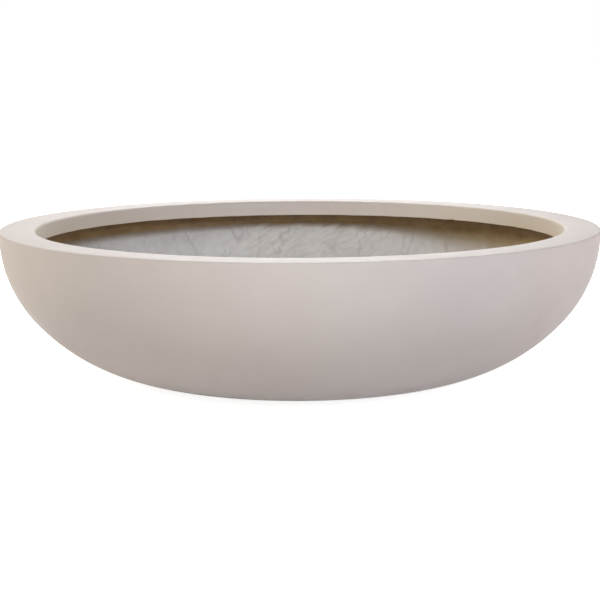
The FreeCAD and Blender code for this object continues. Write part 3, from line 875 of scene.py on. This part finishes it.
def plug_outline():
    """Half of a plug's outline from its tip to the top of its knob, level zero at its seat."""
    stem_radius = DRAIN_RADIUS - PLUG_CLEARANCE
    flange_radius = DRAIN_RADIUS + PLUG_FLANGE_OVERLAP
    knob_radius = PLUG_NECK_RADIUS + PLUG_KNOB_OVERHANG
    knob_level = PLUG_FLANGE_THICKNESS + PLUG_NECK_HEIGHT
    top_level = knob_level + PLUG_KNOB_HEIGHT
    tip = (stem_radius - PLUG_TAPER, PLUG_TIP_RECESS - SEAT_LEVEL)
    stem = (stem_radius, 0)
    flange = (flange_radius, 0)
    flange_top = (flange_radius, PLUG_FLANGE_THICKNESS)
    neck_foot = (PLUG_NECK_RADIUS, PLUG_FLANGE_THICKNESS)
    neck = (PLUG_NECK_RADIUS, knob_level)
    knob = (knob_radius, knob_level)
    knob_top = (knob_radius, top_level)
    middle = (0, top_level)
    smooth = np.vstack([[tip],
                        rounded(tip, stem, flange, PLUG_SEAT_FILLET, steps=4),
                        [flange],
                        rounded(flange, flange_top, neck_foot, PLUG_FLANGE_ROUND, steps=6),
                        rounded(flange_top, neck_foot, neck, PLUG_NECK_FILLET, steps=6),
                        rounded(neck_foot, neck, knob, PLUG_KNOB_FILLET, steps=5)])
    grip = np.vstack([rounded(neck, knob, knob_top, PLUG_KNOB_ROUND),
                      rounded(knob, knob_top, middle, PLUG_KNOB_ROUND)])
    return smooth, grip


def make_plug(number, place, rubber):
    bm = bmesh.new()
    smooth, grip = plug_outline()
    ribs = GRIP_DEPTH / 2 * (np.cos(GRIP_RIBS * bearings(PLUG_SEGMENTS)) - 1)
    loops = [ring(bm, r, z, PLUG_SEGMENTS) for r, z in smooth]
    for r, z in grip:
        ribbed = smooth_step(r, GRIP_START_RADIUS, GRIP_FULL_RADIUS)
        loops.append(ring(bm, r + ribs * ribbed, z, PLUG_SEGMENTS))
    for lower, upper in zip(loops, loops[1:]):
        skin(bm, lower, upper)
    bm.faces.new(loops[0][::-1])
    bm.faces.new(loops[-1])
    bmesh.ops.translate(bm, verts=bm.verts, vec=place + Vector((0, 0, SEAT_LEVEL)))
    return finish_piece(bm, f"drain_plug_{number}_visual", [rubber], f"plug_{number}",
                        [f"drain_plug_{number}"])


def dress_node(name, material):
    """Give a CAD node that stays as it is a material of its own."""
    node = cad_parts[name]
    node.data.materials.clear()
    node.data.materials.append(material)
    node.data.shade_smooth()
    node.data.set_sharp_from_angle(angle=SHARP_ANGLE)


# Studio

FLOOR_RADIUS = 60
FLOOR_SEGMENTS = 128
FLOOR_GAP = 0.0002
FLOOR_GREY = (0.8, 0.8, 0.8, 1)
WHITE = (1, 1, 1, 1)
FOOT_SHADE = (BASE_RADIUS - 0.01, BASE_RADIUS + 0.04)
NEAR_SHADE = (0.45, 1.6)
NEAR_GLOW = 0.86
WORLD_LIGHT = 0.05
LAMP_AIM = Vector((0, 0, 0.2))
CAMERA_PLACE = Vector((0, -2.750, 0.5414))
CAMERA_DOWN = math.radians(8.68)
CAMERA_ROLL = math.radians(-0.253)
LENS = 98.24
SENSOR_WIDTH = 36


def floor_material():
    """Matte grey that glows white to the camera, less beside the bowl and not under it, for its shadow."""
    material = bpy.data.materials.new("floor")
    floor = NodeTree(material)
    floor.tree.nodes.clear()
    matte = floor.node("ShaderNodeBsdfDiffuse")
    floor.feed(matte.inputs["Color"], FLOOR_GREY)
    distance = floor.node("ShaderNodeVectorMath", operation="LENGTH")
    floor.feed(distance.inputs[0], floor.node("ShaderNodeNewGeometry").outputs["Position"])
    from_axis = distance.outputs["Value"]
    outside = floor.spread(from_axis, *FOOT_SHADE)
    away = floor.spread(from_axis, *NEAR_SHADE, to_low=NEAR_GLOW)
    strength = floor.maths("MULTIPLY", floor.maths("MULTIPLY", outside, away), floor.seen_directly())
    glow = floor.node("ShaderNodeEmission")
    floor.feed(glow.inputs["Color"], WHITE)
    floor.feed(glow.inputs["Strength"], strength)
    both = floor.node("ShaderNodeAddShader")
    floor.feed(both.inputs[0], matte.outputs["BSDF"])
    floor.feed(both.inputs[1], glow.outputs["Emission"])
    floor.feed(floor.node("ShaderNodeOutputMaterial").inputs["Surface"], both.outputs["Shader"])
    return material


def make_floor():
    bm = bmesh.new()
    bmesh.ops.create_circle(bm, cap_ends=True, segments=FLOOR_SEGMENTS, radius=FLOOR_RADIUS)
    mesh = bpy.data.meshes.new("floor")
    bm.to_mesh(mesh)
    bm.free()
    mesh.materials.append(floor_material())
    floor = bpy.data.objects.new("floor", mesh)
    floor.location.z = -FLOOR_GAP
    bpy.context.scene.collection.objects.link(floor)


def make_world():
    """Faint even white light from all round, and a plain white background."""
    world = bpy.data.worlds.new("studio")
    studio = NodeTree(world)
    background = studio.tree.nodes["Background"]
    studio.feed(background.inputs["Color"], WHITE)
    strength = studio.spread(studio.seen_directly(), low=0, high=1, to_low=WORLD_LIGHT, to_high=1)
    studio.feed(background.inputs["Strength"], strength)
    bpy.context.scene.world = world


def make_lamp(name, bearing, elevation, colour, power, distance=3.0, width=1.2):
    """A square soft lamp that points at the bowl, from a bearing in degrees to the right of the camera."""
    turn = math.radians(bearing)
    rise = math.radians(elevation)
    flat = distance * math.cos(rise)
    lamp_data = bpy.data.lights.new(name, "AREA")
    lamp_data.size = width
    lamp_data.color = colour
    lamp_data.energy = power
    lamp = bpy.data.objects.new(name, lamp_data)
    from_aim = Vector((flat * math.sin(turn), -flat * math.cos(turn), distance * math.sin(rise)))
    lamp.location = LAMP_AIM + from_aim
    lamp.rotation_euler = (LAMP_AIM - lamp.location).to_track_quat("-Z", "Y").to_euler()
    lamp.visible_camera = False
    bpy.context.scene.collection.objects.link(lamp)


def place_camera():
    camera_data = bpy.data.cameras.new("camera")
    camera_data.lens = LENS
    camera_data.sensor_width = SENSOR_WIDTH
    camera = bpy.data.objects.new("camera", camera_data)
    bpy.context.scene.collection.objects.link(camera)
    pitch = Matrix.Rotation(math.pi / 2 - CAMERA_DOWN, 4, "X")
    roll = Matrix.Rotation(CAMERA_ROLL, 4, "Z")
    camera.matrix_world = Matrix.Translation(CAMERA_PLACE) @ pitch @ roll
    bpy.context.scene.camera = camera


paint = stone_paint()
brown = bare_laminate()
make_shell(paint, brown)
make_rim(paint, brown)
make_lining(grey_laminate())
dress_node("rim_bond", bond_paste())
dress_node("base_doubler", brown)
rubber = black_rubber()
for number, place in enumerate(DRAIN_PLACES, start=1):
    make_plug(number, place, rubber)

make_floor()
make_world()
make_lamp("key", bearing=40, elevation=20, colour=(0.90, 0.93, 1.0), power=25, distance=3.2, width=0.5)
make_lamp("left", bearing=-50, elevation=22, colour=(1.0, 0.93, 0.70), power=13.5)
make_lamp("front", bearing=0, elevation=40, colour=(0.86, 0.87, 1.0), power=15)
make_lamp("front_low", bearing=0, elevation=12, colour=(1.0, 1.0, 0.90), power=14.5)
make_lamp("left_edge", bearing=-110, elevation=22, colour=(1.0, 0.86, 0.70), power=28)
make_lamp("right_edge", bearing=105, elevation=0, colour=(1.0, 0.78, 0.67), power=10, distance=2.6, width=0.3)
make_lamp("back", bearing=180, elevation=40, colour=(0.98, 1.0, 0.99), power=66.5)
place_camera()
bpy.context.scene.view_settings.view_transform = "Standard"
